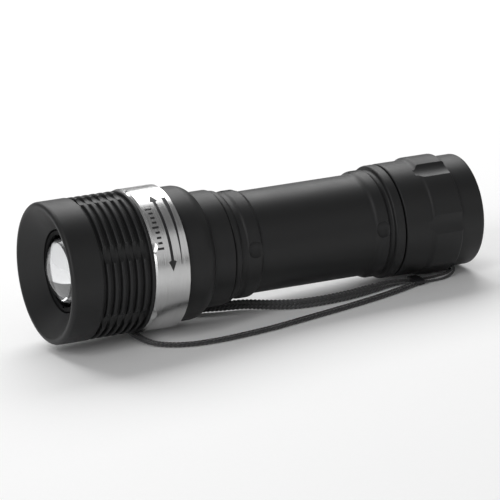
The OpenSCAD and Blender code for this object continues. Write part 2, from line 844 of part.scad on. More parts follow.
module switch_board() {
    color("#1f6b3a") laid() translate([0, 0, switch_board_s])
        cylinder(r = switch_r - 0.1, h = switch_board_t);
}

module tail_spring() {
    color("#d9d9d6") laid()
        coil(2.6, 5.2, carrier_end_s + free_gap, switch_board_s, 6, 0.4, 14);
}

module switch_housing() {
    color("#2d2d30") laid() rotate_extrude() difference() {
        span(0, switch_r - 0.2, housing_s, washer_s);
        span(-1, stem_r + run_gap, stem_bore_s, washer_s + 1);
    }
}

module boot_washer() {
    color("#b9bbbd") laid() ring(boot_r - 0.9, switch_r - 0.1, washer_s, boot_s);
}

// Rubber boot: a flange held under the shelf and a dome that stands in the recess
module switch_boot() {
    dome_e = 2.4;
    color("#141414") laid() rotate_extrude() difference() {
        union() {
            span(0, switch_r - 0.1, boot_s, shelf_s);
            land(0, boot_r, boot_s - dome_e, boot_top_s, dome_e);
        }
        span(-1, boot_r + 5, boot_s - 6, boot_s);
        span(-1, boot_r - boot_t, boot_s - 1, boot_top_s - boot_t);
    }
}

module switch_plunger() {
    color("#d8d8d2") laid() rotate_extrude() {
        span(0, stem_r, stem_s, plunger_s + 0.5);
        land(0, boot_r - boot_t - 0.9, plunger_s, plunger_end_s, 0.3);
    }
}

module plunger_spring() {
    color("#d9d9d6") laid()
        coil(1.9, 1.9, stem_bore_s, stem_s, 3, 0.22, 12);
}

// ---- Lanyard ----

module lanyard_string() {
    color("#1b1b1b") laid()
        swept(string_path, string_d / 2, string_d / 2, [for (p = string_path) 0], [-1, 0, -1], 8);
}

// Crimp that holds both ends of the strap and both ends of the string
module lanyard_clamp() {
    clamp_s = total_l - strap_route[0][0];
    clamp_l = strap_route[0][0] - string_route[0][0];
    clamp_y = (strap_route[0][1] + strap_route[len(strap_route) - 1][1]) / 2;
    clamp_r = 0.95;
    half_y = 2.4;
    color("#161616") laid()
        translate([-rest_z(clamp_s + clamp_l / 2) - clamp_r - 0.1, clamp_y, clamp_s]) {
            translate([-clamp_r, -half_y, 0]) cube([2 * clamp_r, 2 * half_y, clamp_l]);
            for (y = [-half_y, half_y]) translate([0, y, 0]) cylinder(r = clamp_r, h = clamp_l);
        }
}

module wrist_strap() {
    color("#2a2a2a") laid()
        swept(strap_path, strap_w / 2, strap_t / 2, strap_rolls, [-1, 0, 0], 8);
}

head_bezel();
zoom_band();
cam_sleeve();
lens();
lens_cell();
lens_gasket();
lens_retainer();
guide_pins();
neck_shell();
guide_sleeve();
guide_clip();
focus_o_rings();
led_pill();
led_board();
led_emitter();
led_dome();
board_screws();
lead_wires();
driver_board();
driver_parts();
driver_spring();
barrel();
front_o_ring();
tail_o_ring();
carrier_front();
carrier_rear();
carrier_posts();
carrier_nub();
carrier_plates();
carrier_springs();
cell_1();
cell_2();
cell_3();
tail_cap();
switch_ring();
switch_board();
tail_spring();
switch_housing();
boot_washer();
switch_boot();
switch_plunger();
plunger_spring();
lanyard_string();
lanyard_clamp();
wrist_strap();
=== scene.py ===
import math

import bpy
from mathutils import Matrix, Vector


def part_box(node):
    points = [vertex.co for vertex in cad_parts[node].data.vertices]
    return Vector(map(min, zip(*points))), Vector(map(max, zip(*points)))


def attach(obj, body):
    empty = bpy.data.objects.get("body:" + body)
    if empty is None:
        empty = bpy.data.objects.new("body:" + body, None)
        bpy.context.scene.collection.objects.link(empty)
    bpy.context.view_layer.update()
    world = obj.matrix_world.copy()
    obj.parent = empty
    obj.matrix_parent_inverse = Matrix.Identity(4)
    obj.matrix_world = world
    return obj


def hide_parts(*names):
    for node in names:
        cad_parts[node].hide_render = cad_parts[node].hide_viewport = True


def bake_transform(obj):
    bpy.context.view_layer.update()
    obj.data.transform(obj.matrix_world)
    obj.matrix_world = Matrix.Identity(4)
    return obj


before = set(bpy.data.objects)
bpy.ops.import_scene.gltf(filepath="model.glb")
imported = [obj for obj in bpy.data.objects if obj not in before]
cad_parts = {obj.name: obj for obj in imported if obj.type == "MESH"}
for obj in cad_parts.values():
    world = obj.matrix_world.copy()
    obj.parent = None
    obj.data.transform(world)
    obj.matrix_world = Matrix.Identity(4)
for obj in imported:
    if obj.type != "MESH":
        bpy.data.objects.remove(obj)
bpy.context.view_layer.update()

# ---- Sizes, in metres, taken from the frame ----

MM = 0.001
UP = Vector((0, 0, 1))
TAIL_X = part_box("tail_cap")[1].x
BAND_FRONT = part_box("zoom_band")[0].x
BAND_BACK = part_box("zoom_band")[1].x
BAND_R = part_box("zoom_band")[1].y
TAIL_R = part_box("tail_cap")[1].y

STRAP_W = 3 * MM
STRAP_T = 1 * MM
STRING_D = 0.8 * MM

# The torch lies on the strap under its head and on the fluted ring of its tail cap,
# whose lowest point is GRIP_END in front of the tail face
REST_GAP = 0.3 * MM
GRIP_END = 7.5 * MM
REST_X = BAND_FRONT - 1 * MM
REST_Z = -(BAND_R + STRAP_T + REST_GAP)
REST_SLOPE = (-TAIL_R - REST_Z) / (TAIL_X - GRIP_END - REST_X)


def rest_z(x):
    """Height of the surface that the torch lies on."""
    return REST_Z + REST_SLOPE * (x - REST_X)


# ---- Camera ----

CAMERA_AZIMUTH = math.radians(-25.5)
CAMERA_ELEVATION = math.radians(15.4)
CAMERA_ROLL = math.radians(-1.84)
CAMERA_DISTANCE = 1.4
CAMERA_LENS = 358.1
CAMERA_SENSOR = 36
CAMERA_CLIP = (0.1, 20)
AIM_RIGHT = -1.54 * MM
AIM_UP = -2.67 * MM


def make_camera():
    """A long lens in front of the torch, towards its lens end, looking a little down."""
    azimuth = CAMERA_AZIMUTH
    level = math.cos(CAMERA_ELEVATION)
    back = Vector((math.sin(azimuth) * level, -math.cos(azimuth) * level, math.sin(CAMERA_ELEVATION)))
    right = Vector((math.cos(azimuth), math.sin(azimuth), 0))
    up = back.cross(right)
    tilted_right = right * math.cos(CAMERA_ROLL) + up * math.sin(CAMERA_ROLL)
    tilted_up = up * math.cos(CAMERA_ROLL) - right * math.sin(CAMERA_ROLL)
    data = bpy.data.cameras.new("camera")
    data.lens = CAMERA_LENS
    data.sensor_width = CAMERA_SENSOR
    data.clip_start, data.clip_end = CAMERA_CLIP
    camera = bpy.data.objects.new("camera", data)
    bpy.context.scene.collection.objects.link(camera)
    turn = Matrix((tilted_right, tilted_up, back)).transposed().to_4x4()
    place = back * CAMERA_DISTANCE + tilted_right * AIM_RIGHT + tilted_up * AIM_UP
    camera.matrix_world = Matrix.Translation(place) @ turn
    bpy.context.scene.camera = camera


# ---- Mesh helpers ----


def make_piece(name, points, faces, smooth=True):
    """A mesh object from points and faces."""
    mesh = bpy.data.meshes.new(name)
    mesh.from_pydata([tuple(p) for p in points], [], faces)
    mesh.validate()
    mesh.polygons.foreach_set("use_smooth", [smooth] * len(mesh.polygons))
    piece = bpy.data.objects.new(name, mesh)
    bpy.context.scene.collection.objects.link(piece)
    return piece


def tube_faces(rings, sides, first=0):
    """Faces that join rings of points into a tube, closed at both ends."""
    faces = []
    for i in range(rings - 1):
        for k in range(sides):
            m = (k + 1) % sides
            a = first + i * sides
            b = a + sides
            faces.append((a + k, a + m, b + m, b + k))
    last = first + (rings - 1) * sides
    faces.append(tuple(range(first + sides - 1, first - 1, -1)))
    faces.append(tuple(range(last, last + sides)))
    return faces


def catmull_rom(p0, p1, p2, p3, u):
    """Point at u from 0 to 1 between p1 and p2."""
    return (
        2 * p1
        + (p2 - p0) * u
        + (2 * p0 - 5 * p1 + 4 * p2 - p3) * u * u
        + (3 * p1 - p0 - 3 * p2 + p3) * u * u * u
    ) / 2


def smooth_line(points, steps):
    """A Catmull-Rom line through points, with steps points in each stretch."""
    line = []
    last = len(points) - 1
    for i in range(last):
        stretch = [points[max(0, min(last, i + m))] for m in (-1, 0, 1, 2)]
        line += [catmull_rom(*stretch, j / steps) for j in range(steps)]
    return [*line, points[last]]


def evenly_spaced(line, step):
    """Points along a line at even distances, each with its distance from the start."""
    total = sum((b - a).length for a, b in zip(line, line[1:]))
    count = round(total / step)
    wanted = [total * i / count for i in range(count + 1)]
    spaced = []
    travelled = 0.0
    index = 0
    for distance in wanted:
        while index < len(line) - 2 and travelled + (line[index + 1] - line[index]).length < distance:
            travelled += (line[index + 1] - line[index]).length
            index += 1
        reach = (line[index + 1] - line[index]).length
        share = min(1.0, (distance - travelled) / reach)
        spaced.append((distance, line[index].lerp(line[index + 1], share)))
    return spaced


# ---- Cords ----

# Strap route from the crimp round under the head and back: distance from the tail face
# and sideways place, in millimetres, and the roll of its flat face, in degrees
STRAP_ROUTE = [
    (20.6, -10.6, 0), (26, -12.6, 0), (32, -14.5, 0), (43, -17, 0), (57, -19.4, 0),
    (71, -21.6, 0), (84, -22.2, 0), (92, -21.4, 0), (97, -19.6, 0), (101, -16.6, 0),
    (103.6, -12.4, 0), (104.4, -7, 0), (104.2, -2, 0), (102.6, 3, 0), (99, 7.4, 0),
    (94, 9.4, 10), (88, 8.8, 35), (82, 6, 65), (76, 3.4, 85), (69, 0.4, 90),
    (63, -5, 90), (57.4, -8.8, 90), (50, -10.6, 90), (41, -10.8, 90),
    (32, -9.4, 80), (26, -8, 50), (20.6, -7.2, 15),
]
# String route from the crimp through the tail cap's hole and back: distance from the tail
# face, sideways place and height, in millimetres
STRING_ROUTE = [
    (17.7, -10.3, -16.7), (15, -10.8, -16.7), (12, -10.8, -16.6), (9, -9.8, -16.4),
    (7, -8.6, -15.9), (6.1, -7.4, -15.2), (6, -6.2, -14.7), (6, -3, -14.7),
    (6, 3, -14.7), (6, 6.2, -14.7), (5.8, 7.4, -15.2), (5.4, 6.8, -16.1),
    (5.1, 4, -16.36), (5, 0, -16.36), (5.2, -3, -16.38), (6.2, -5.4, -16.4),
    (9, -6.8, -16.5), (13, -7.5, -16.7), (17.7, -7.4, -16.8),
]
ROUTE_STEPS = 8
# Air between the strap and the surface that it lies on
STRAP_CLEARANCE = 0.08 * MM


def strap_half_height(roll):
    """Half the height of the strap's section at a roll of its flat face."""
    return math.hypot(STRAP_T * math.cos(roll), STRAP_W * math.sin(roll)) / 2


def strap_line():
    """The strap's centre line, each point with its roll."""
    knots = [Vector((p[0], p[1], p[2])) for p in STRAP_ROUTE]
    line = []
    for knot in smooth_line(knots, ROUTE_STEPS):
        x = TAIL_X - knot.x * MM
        roll = math.radians(knot.z)
        height = rest_z(x) + strap_half_height(roll) + STRAP_CLEARANCE
        line.append((Vector((x, knot.y * MM, height)), roll))
    return line


def across_and_up(tangent, roll):
    """The sideways and upward directions of a section rolled about the tangent."""
    side = tangent.cross(UP).normalized()
    lift = side.cross(tangent)
    across = side * math.cos(roll) + lift * math.sin(roll)
    rise = lift * math.cos(roll) - side * math.sin(roll)
    return across, rise


STRANDS = 5
BRAID_PERIOD = 6 * MM
BRAID_STEP = BRAID_PERIOD / 30
STRAND_HALF_W = 0.46 * MM
STRAND_HALF_T = 0.29 * MM
BRAID_SWING = STRAP_W / 2 - STRAND_HALF_W
BRAID_LIFT = 0.29 * MM
STRAND_SIDES = 10
# 0 to 1: closer to 1 makes a strand's runs straighter and its turns sharper
BRAID_CORNER = 0.97
# Points to each side of a section that give the strap's direction there
TANGENT_REACH = 2


def braid_offset(distance, strand):
    """Sideways and upward place of one strand in the flat braid: straight runs, tight turns."""
    turn = 2 * math.pi * (distance / BRAID_PERIOD + strand / STRANDS)
    run = math.asin(BRAID_CORNER * math.sin(turn)) / math.asin(BRAID_CORNER)
    return BRAID_SWING * run, BRAID_LIFT * math.sin(2 * turn)


def make_strap():
    """The wrist strap: a flat braid of strands that pass over and under each other."""
    rolled = strap_line()
    places = [p for p, _ in rolled]
    spaced = evenly_spaced(places, BRAID_STEP)
    travelled = [0.0]
    for a, b in zip(places, places[1:]):
        travelled.append(travelled[-1] + (b - a).length)
    sections = []
    index = 0
    for i, (distance, centre) in enumerate(spaced):
        while index < len(travelled) - 2 and travelled[index + 1] < distance:
            index += 1
        stretch = travelled[index + 1] - travelled[index]
        share = min(1.0, (distance - travelled[index]) / stretch)
        roll = rolled[index][1] * (1 - share) + rolled[index + 1][1] * share
        before = spaced[max(0, i - TANGENT_REACH)][1]
        after = spaced[min(len(spaced) - 1, i + TANGENT_REACH)][1]
        across, rise = across_and_up((after - before).normalized(), roll)
        sections.append((distance, centre, across, rise))
    points = []
    faces = []
    for strand in range(STRANDS):
        middles = []
        for distance, centre, across, rise in sections:
            sideways, lift = braid_offset(distance, strand)
            middles.append(centre + across * sideways + rise * lift)
        first = len(points)
        for i, middle in enumerate(middles):
            along = (middles[min(len(middles) - 1, i + 1)] - middles[max(0, i - 1)]).normalized()
            wide = sections[i][3].cross(along).normalized()
            thick = along.cross(wide)
            for k in range(STRAND_SIDES):
                angle = 2 * math.pi * k / STRAND_SIDES
                sideways = wide * STRAND_HALF_W * math.cos(angle)
                points.append(middle + sideways + thick * STRAND_HALF_T * math.sin(angle))
        faces += tube_faces(len(middles), STRAND_SIDES, first)
    strap = make_piece("braided_wrist_strap", points, faces)
    return strap, places[::2] + [places[-1]], spaced[-1][0]


PLIES = 3
PLY_R = 0.2 * MM
PLY_PITCH = 2.2 * MM
PLY_STEP = PLY_PITCH / 14
PLY_SIDES = 8
PLY_SWING = STRING_D / 2 - PLY_R
# A direction that the string never runs along
STRING_ACROSS = Vector((1, 0, 1))


def make_string():
    """The tie string: three plies twisted round each other."""
    knots = [Vector((TAIL_X - p[0] * MM, p[1] * MM, p[2] * MM)) for p in STRING_ROUTE]
    spaced = evenly_spaced(smooth_line(knots, ROUTE_STEPS), PLY_STEP)
    points = []
    faces = []
    for ply in range(PLIES):
        first = len(points)
        for i, (distance, centre) in enumerate(spaced):
            before = spaced[max(0, i - 1)][1]
            after = spaced[min(len(spaced) - 1, i + 1)][1]
            tangent = (after - before).normalized()
            side = tangent.cross(STRING_ACROSS).normalized()
            lift = side.cross(tangent)
            turn = 2 * math.pi * (distance / PLY_PITCH + ply / PLIES)
            middle = centre + (side * math.cos(turn) + lift * math.sin(turn)) * PLY_SWING
            for k in range(PLY_SIDES):
                angle = 2 * math.pi * k / PLY_SIDES
                points.append(middle + (side * math.cos(angle) + lift * math.sin(angle)) * PLY_R)
        faces += tube_faces(len(spaced), PLY_SIDES, first)
    string = make_piece("twisted_tie_string", points, faces)
    return string, [place for _, place in spaced], spaced[-1][0]


CRIMP_RINGS = 31
CRIMP_SIDES = 48
# Shares of the crimp's length or half size
CRIMP_END = 0.86
CRIMP_END_SLOPE = 1.6
CRIMP_PRESSES = (0.32, 0.68)
CRIMP_PRESS_DEPTH = 0.1
CRIMP_PRESS_WIDTH = 0.09
# Powers of the cosine and sine: below 1 is boxier than an ellipse
CRIMP_POWER_Y = 0.7
CRIMP_POWER_Z = 0.75


def signed_power(value, power):
    """A power of the value's size, with the value's sign."""
    return math.copysign(abs(value) ** power, value)


def make_crimp():
    """The crimp between strap and string: a flattened sleeve pressed in at two places."""
    low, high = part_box("lanyard_clamp")
    centre = (low + high) / 2
    half = (high - low) / 2
    points = []
    for i in range(CRIMP_RINGS):
        t = i / (CRIMP_RINGS - 1)
        end_round = min(1.0, CRIMP_END + min(t, 1 - t) * CRIMP_END_SLOPE)
        dips = [math.exp(-(((t - place) / CRIMP_PRESS_WIDTH) ** 2)) for place in CRIMP_PRESSES]
        pressed = 1 - CRIMP_PRESS_DEPTH * sum(dips)
        for k in range(CRIMP_SIDES):
            angle = 2 * math.pi * k / CRIMP_SIDES
            y = half.y * end_round * signed_power(math.cos(angle), CRIMP_POWER_Y)
            z = half.z * end_round * pressed * signed_power(math.sin(angle), CRIMP_POWER_Z)
            points.append(centre + Vector((half.x * (2 * t - 1), y, z)))
    return make_piece("lanyard_crimp", points, tube_faces(CRIMP_RINGS, CRIMP_SIDES))


def make_cords():
    """The strap, the string and the crimp, attached to the tail end in place of their CAD pieces."""
    crimp = make_crimp()
    strap, strap_path, strap_length = make_strap()
    string, string_path, string_length = make_string()
    for piece, node in ((crimp, "lanyard_clamp"), (strap, "wrist_strap"), (string, "lanyard_string")):
        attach(piece, "tail_end")
        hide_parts(node)
    return {"crimp": crimp, "strap": strap, "string": string}


# ---- Materials ----


class Surface:
    """A Principled material, with short ways to wire procedural nodes into it."""

    def __init__(self, name, **values):
        self.material = bpy.data.materials.new(name)
        self.material.use_nodes = True
        self.tree = self.material.node_tree
        self.shader = self.tree.nodes["Principled BSDF"]
        for socket, value in values.items():
            self.shader.inputs[socket.replace("_", " ")].default_value = value
        self.place = self.node("ShaderNodeTexCoord").outputs["Object"]

    def node(self, kind, **settings):
        """A new node with its settings."""
        made = self.tree.nodes.new(kind)
        for key, value in settings.items():
            setattr(made, key, value)
        return made

    def feed(self, node, socket, value):
        """Sets a socket to a number or links an output to it."""
        if isinstance(value, bpy.types.NodeSocket):
            self.tree.links.new(value, node.inputs[socket])
        else:
            node.inputs[socket].default_value = value

    def link(self, output, socket):
        """Links an output to the shader's own socket."""
        self.tree.links.new(output, self.shader.inputs[socket])

    def math(self, operation, a, b=0.0, clamp=False):
        """The output of one math node."""
        made = self.node("ShaderNodeMath", operation=operation, use_clamp=clamp)
        self.feed(made, 0, a)
        self.feed(made, 1, b)
        return made.outputs[0]

    def ramp(self, value, low, high, to_low=0.0, to_high=1.0):
        """Maps value from low..high to to_low..to_high, eased at both ends."""
        made = self.node("ShaderNodeMapRange", interpolation_type="SMOOTHSTEP")
        sockets = ("Value", "From Min", "From Max", "To Min", "To Max")
        for socket, number in zip(sockets, (value, low, high, to_low, to_high)):
            self.feed(made, socket, number)
        return made.outputs["Result"]

    def mixed(self, first, first_share, second, second_share):
        """The sum of two outputs, each times its share."""
        first = self.math("MULTIPLY", first, first_share)
        return self.math("ADD", first, self.math("MULTIPLY", second, second_share))

    def noise(self, scale, detail=3.0, roughness=0.55, stretch=(1, 1, 1)):
        """Noise in object space, with a stretch along each axis."""
        mapping = self.node("ShaderNodeMapping")
        mapping.inputs["Scale"].default_value = stretch
        self.tree.links.new(self.place, mapping.inputs["Vector"])
        made = self.node("ShaderNodeTexNoise")
        made.inputs["Scale"].default_value = scale
        made.inputs["Detail"].default_value = detail
        made.inputs["Roughness"].default_value = roughness
        self.tree.links.new(mapping.outputs["Vector"], made.inputs["Vector"])
        return made.outputs["Fac"]

    def blend(self, share, first, second):
        """A colour between first and second; 6, 7 and 2 are the mix node's colour sockets."""
        made = self.node("ShaderNodeMix", data_type="RGBA")
        self.feed(made, "Factor", share)
        for index, value in ((6, first), (7, second)):
            if isinstance(value, bpy.types.NodeSocket):
                self.tree.links.new(value, made.inputs[index])
            else:
                made.inputs[index].default_value = (*value, 1)
        return made.outputs[2]

    def axes(self):
        """The x, y and z of the point in object space."""
        made = self.node("ShaderNodeSeparateXYZ")
        self.tree.links.new(self.place, made.inputs[0])
        return made.outputs

    def edges(self, radius):
        """0 on flat places, 1 on edges sharper than radius."""
        bevel = self.node("ShaderNodeBevel", samples=6)
        bevel.inputs["Radius"].default_value = radius
        plain = self.node("ShaderNodeNewGeometry")
        dot = self.node("ShaderNodeVectorMath", operation="DOT_PRODUCT")
        self.tree.links.new(bevel.outputs[0], dot.inputs[0])
        self.tree.links.new(plain.outputs["Normal"], dot.inputs[1])
        return self.ramp(dot.outputs["Value"], 0.995, 0.9)

    def bump(self, heights):
        """Bump from (height, strength, distance) layers, finest last."""
        normal = None
        for height, strength, distance in heights:
            made = self.node("ShaderNodeBump")
            made.inputs["Strength"].default_value = strength
            made.inputs["Distance"].default_value = distance
            self.tree.links.new(height, made.inputs["Height"])
            if normal is not None:
                self.tree.links.new(normal, made.inputs["Normal"])
            normal = made.outputs["Normal"]
        self.link(normal, "Normal")


# Stretches noise into lines round the X axis
TURNED = (1, 0.02, 0.02)
# Widest edge that gets a painted highlight
EDGE_HIGHLIGHT_REACH = 0.25 * MM
# Depths of bump
FINE = 0.02 * MM
COARSE = 0.03 * MM


def black_shell():
    """Matt black anodised aluminium: fine blast grain, faint turning lines, painted highlights on the
    edges.
    """
    s = Surface("black_shell", Metallic=0.0, Specular_IOR_Level=0.3)
    cloud = s.noise(90, 4, 0.6)
    grain = s.noise(9000, 2, 0.7)
    lines = s.noise(7000, 2, 0.6, TURNED)
    tone = s.blend(cloud, (0.0095, 0.0096, 0.01), (0.013, 0.0131, 0.0135))
    # Painted highlight: the base colour lightens in noisy patches along sharp edges
    painted_edge_highlight = s.math("MULTIPLY", s.edges(EDGE_HIGHLIGHT_REACH), s.ramp(s.noise(600, 3), 0.35, 0.7), clamp=True)
    s.link(s.blend(s.math("MULTIPLY", painted_edge_highlight, 0.35), tone, (0.045, 0.046, 0.048)), "Base Color")
    s.link(s.ramp(s.mixed(grain, 0.6, cloud, 0.4), 0.3, 0.7, 0.42, 0.54), "Roughness")
    s.bump([(lines, 0.06, FINE), (grain, 0.12, FINE)])
    return s.material


def band_metal():
    """Satin bare aluminium with lines round the band."""
    s = Surface("band_metal", Metallic=1.0, Anisotropic=0.4)
    tangent = s.node("ShaderNodeTangent", direction_type="RADIAL", axis="X")
    s.link(tangent.outputs[0], "Tangent")
    fine = s.noise(16000, 2, 0.7, TURNED)
    broad = s.noise(2600, 3, 0.6, TURNED)
    cloud = s.noise(120, 3)
    lines = s.mixed(fine, 0.6, broad, 0.4)
    s.link(s.blend(s.ramp(lines, 0.3, 0.7), (0.47, 0.47, 0.47), (0.57, 0.57, 0.57)), "Base Color")
    s.link(s.ramp(s.math("ADD", lines, s.math("MULTIPLY", cloud, 0.3)), 0.45, 0.85, 0.2, 0.28), "Roughness")
    s.bump([(lines, 0.05, FINE)])
    return s.material


def turned_metal(name, dark, light, roughness, lines_strength=0.1):
    """Turned metal with lines round the axis and a little staining."""
    s = Surface(name, Metallic=1.0)
    lines = s.noise(6000, 2, 0.6, TURNED)
    stain = s.noise(220, 4, 0.6)
    s.link(s.blend(s.ramp(stain, 0.3, 0.7), dark, light), "Base Color")
    s.link(s.ramp(s.math("ADD", lines, stain), 0.6, 1.4, roughness - 0.07, roughness + 0.08), "Roughness")
    s.bump([(lines, lines_strength, FINE)])
    return s.material


def moulded(name, dark, light, roughness, grain_scale=3500, strength=0.15, specular=0.5):
    """Moulded plastic or rubber: fine grain and slight tone changes."""
    s = Surface(name, Metallic=0.0, Specular_IOR_Level=specular)
    cloud = s.noise(260, 4, 0.6)
    grain = s.noise(grain_scale, 3, 0.6)
    s.link(s.blend(s.ramp(cloud, 0.3, 0.7), dark, light), "Base Color")
    s.link(s.ramp(grain, 0.3, 0.7, roughness - 0.06, roughness + 0.08), "Roughness")
    s.bump([(grain, strength, COARSE)])
    return s.material


# How far the painted shade reaches from a strand into the gap beside it
GAP_SHADE_REACH = 0.6 * MM


def fibre(name, dark, light):
    """Polyester yarn: fine fibres, uneven dye, painted shade in the gaps between the strands, a soft sheen.
    """
    s = Surface(name, Metallic=0.0, Specular_IOR_Level=0.5, Sheen_Weight=0.6, Sheen_Roughness=0.35)
    hairs = s.noise(11000, 3, 0.7)
    dye = s.noise(900, 3, 0.6)
    # Painted shade: ambient occlusion darkens the base colour in the gaps between the strands
    painted_gap_shade = s.node("ShaderNodeAmbientOcclusion", samples=8, only_local=True)
    painted_gap_shade.inputs["Distance"].default_value = GAP_SHADE_REACH
    tone = s.mixed(hairs, 0.65, dye, 0.35)
    tone = s.math("MULTIPLY", s.ramp(tone, 0.3, 0.65, 0.35, 1), s.ramp(painted_gap_shade.outputs["AO"], 0.5, 1.0))
    s.link(s.blend(tone, dark, light), "Base Color")
    s.link(s.ramp(hairs, 0.3, 0.7, 0.32, 0.5), "Roughness")
    s.bump([(hairs, 0.25, COARSE)])
    return s.material


def circuit_board(name, mask, copper):
    """Solder mask over copper: faint traces, fine orange-peel bump."""
    s = Surface(name, Metallic=0.0, Specular_IOR_Level=0.5)
    cells = s.node("ShaderNodeTexVoronoi", feature="DISTANCE_TO_EDGE")
    cells.inputs["Scale"].default_value = 700
    s.tree.links.new(s.place, cells.inputs["Vector"])
    traces = s.ramp(cells.outputs["Distance"], 0.05, 0.09)
    s.link(s.blend(traces, copper, mask), "Base Color")
    peel = s.noise(2500, 2)
    s.link(s.ramp(peel, 0.3, 0.7, 0.28, 0.42), "Roughness")
    s.bump([(traces, 0.2, COARSE), (peel, 0.08, FINE)])
    return s.material


# From each end of a cell: bare steel as far as CELL_BARE, then a pale stripe as far as
# CELL_STRIPE; each colour blurs into the next over CELL_BLUR
CELL_BARE = 1.1 * MM
CELL_STRIPE = 9 * MM
CELL_BLUR = 0.1 * MM


def cell_wrap(node):
    """Printed shrink sleeve over a steel can, bare at the terminals."""
    low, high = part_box(node)
    s = Surface("cell_wrap_" + node, Specular_IOR_Level=0.5)
    x = s.axes()[0]
    insides = []
    for margin in (CELL_BARE, CELL_STRIPE):
        from_low = s.ramp(x, low.x + margin, low.x + margin + CELL_BLUR)
        from_high = s.ramp(x, high.x - margin, high.x - margin - CELL_BLUR)
        insides.append(s.math("MULTIPLY", from_low, from_high))
    inside, band = insides
    scuff = s.noise(700, 4, 0.65)
    sleeve = s.blend(band, (0.55, 0.56, 0.56), s.blend(scuff, (0.02, 0.11, 0.05), (0.03, 0.16, 0.075)))
    s.link(s.blend(inside, (0.62, 0.61, 0.58), sleeve), "Base Color")
    s.link(s.math("SUBTRACT", 1.0, inside, clamp=True), "Metallic")
    s.link(s.ramp(scuff, 0.3, 0.7, 0.22, 0.36), "Roughness")
    s.bump([(s.noise(1800, 2), 0.06, FINE)])
    return s.material


def lens_glass():
    """Slightly grey acrylic with faint haze."""
    s = Surface("lens_glass", Metallic=0.0, IOR=1.49, Transmission_Weight=1.0)
    s.shader.inputs["Base Color"].default_value = (0.78, 0.79, 0.8, 1)
    haze = s.noise(500, 4, 0.6)
    s.link(s.ramp(haze, 0.35, 0.75, 0.01, 0.05), "Roughness")
    return s.material


def silicone():
    """Yellow phosphor under clear silicone."""
    s = Surface("led_silicone", Metallic=0.0, Specular_IOR_Level=0.6, Subsurface_Weight=0.3)
    s.shader.inputs["Subsurface Radius"].default_value = (0.4 * MM, 0.3 * MM, 0.1 * MM)
    speckle = s.noise(6000, 3)
    s.link(s.blend(speckle, (0.75, 0.6, 0.12), (0.95, 0.82, 0.3)), "Base Color")
    s.link(s.ramp(speckle, 0.3, 0.7, 0.15, 0.28), "Roughness")
    return s.material


def ink():
    """Black screen-print ink, slightly uneven."""
    s = Surface("print_ink", Metallic=0.0, Specular_IOR_Level=0.35)
    dots = s.noise(5200, 3, 0.65)
    s.link(s.blend(s.ramp(dots, 0.35, 0.75), (0.008, 0.008, 0.009), (0.028, 0.028, 0.03)), "Base Color")
    s.link(s.ramp(dots, 0.3, 0.7, 0.4, 0.6), "Roughness")
    return s.material


def floor_paper():
    """Pale matt backdrop paper."""
    s = Surface("floor_paper", Metallic=0.0, Specular_IOR_Level=0.1)
    tooth = s.noise(900, 3)
    s.link(s.blend(tooth, (0.92, 0.92, 0.92), (0.94, 0.94, 0.94)), "Base Color")
    s.shader.inputs["Roughness"].default_value = 0.9
    s.bump([(tooth, 0.03, FINE)])
    return s.material


def make_materials():
    """Every material. All but the ink bear a slot's name."""
    return {
        "black_shell": black_shell(),
        "band_metal": band_metal(),
        "dark_metal": moulded(
            "dark_metal", (0.003, 0.003, 0.0032), (0.005, 0.005, 0.0055), 0.5, 5000, 0.08, 0.08
        ),
        "bare_metal": turned_metal("bare_metal", (0.42, 0.42, 0.43), (0.6, 0.6, 0.61), 0.32),
        "lens_glass": lens_glass(),
        "brass": turned_metal("brass", (0.55, 0.36, 0.12), (0.78, 0.56, 0.24), 0.3),
        "steel": turned_metal("steel", (0.45, 0.45, 0.44), (0.68, 0.68, 0.67), 0.24, 0.05),
        "seal_rubber": moulded("seal_rubber", (0.16, 0.015, 0.012), (0.24, 0.022, 0.018), 0.5, 2500, 0.2),
        "boot_rubber": moulded(
            "boot_rubber", (0.012, 0.012, 0.013), (0.024, 0.024, 0.026), 0.62, 3000, 0.3, 0.3
        ),
        "board_white": circuit_board("board_white", (0.82, 0.82, 0.8), (0.7, 0.7, 0.67)),
        "board_green": circuit_board("board_green", (0.012, 0.11, 0.04), (0.03, 0.2, 0.07)),
        "led_ceramic": moulded("led_ceramic", (0.75, 0.73, 0.66), (0.85, 0.84, 0.78), 0.4, 4000, 0.05),
        "led_silicone": silicone(),
        "black_plastic": moulded(
            "black_plastic", (0.011, 0.011, 0.012), (0.02, 0.02, 0.022), 0.46, 3500, 0.2, 0.35
        ),
        "white_plastic": moulded("white_plastic", (0.62, 0.62, 0.58), (0.72, 0.72, 0.69), 0.42, 3500, 0.1),
        "wire_red": moulded("wire_red", (0.33, 0.012, 0.01), (0.45, 0.02, 0.016), 0.4, 3000, 0.05),
        "braid": fibre("braid", (0.003, 0.003, 0.0032), (0.055, 0.055, 0.057)),
        "string": fibre("string", (0.006, 0.006, 0.0065), (0.07, 0.07, 0.072)),
        "ink": ink(),
    }


NODE_SLOTS = {
    "black_shell": ["head_bezel", "neck_shell", "barrel", "tail_cap"],
    "band_metal": ["zoom_band"],
    "bare_metal": ["cam_sleeve", "guide_sleeve", "switch_ring"],
    "dark_metal": ["lens_cell", "lens_retainer"],
    "seal_rubber": ["focus_o_rings", "front_o_ring", "tail_o_ring"],
    "boot_rubber": ["lens_gasket"],
    "brass": ["guide_pins", "led_pill", "carrier_nub"],
    "steel": [
        "guide_clip", "board_screws", "driver_spring", "carrier_plates", "carrier_springs",
        "tail_spring", "boot_washer", "plunger_spring",
    ],
    "board_white": ["led_board"],
    "board_green": ["driver_board", "switch_board"],
    "led_ceramic": ["led_emitter"],
    "led_silicone": ["led_dome"],
    "wire_red": ["lead_wires"],
    "black_plastic": ["driver_parts", "carrier_front", "carrier_rear", "switch_housing"],
    "white_plastic": ["carrier_posts", "switch_plunger"],
}


def dress(piece, material):
    """Gives a piece one material."""
    piece.data.materials.clear()
    piece.data.materials.append(material)


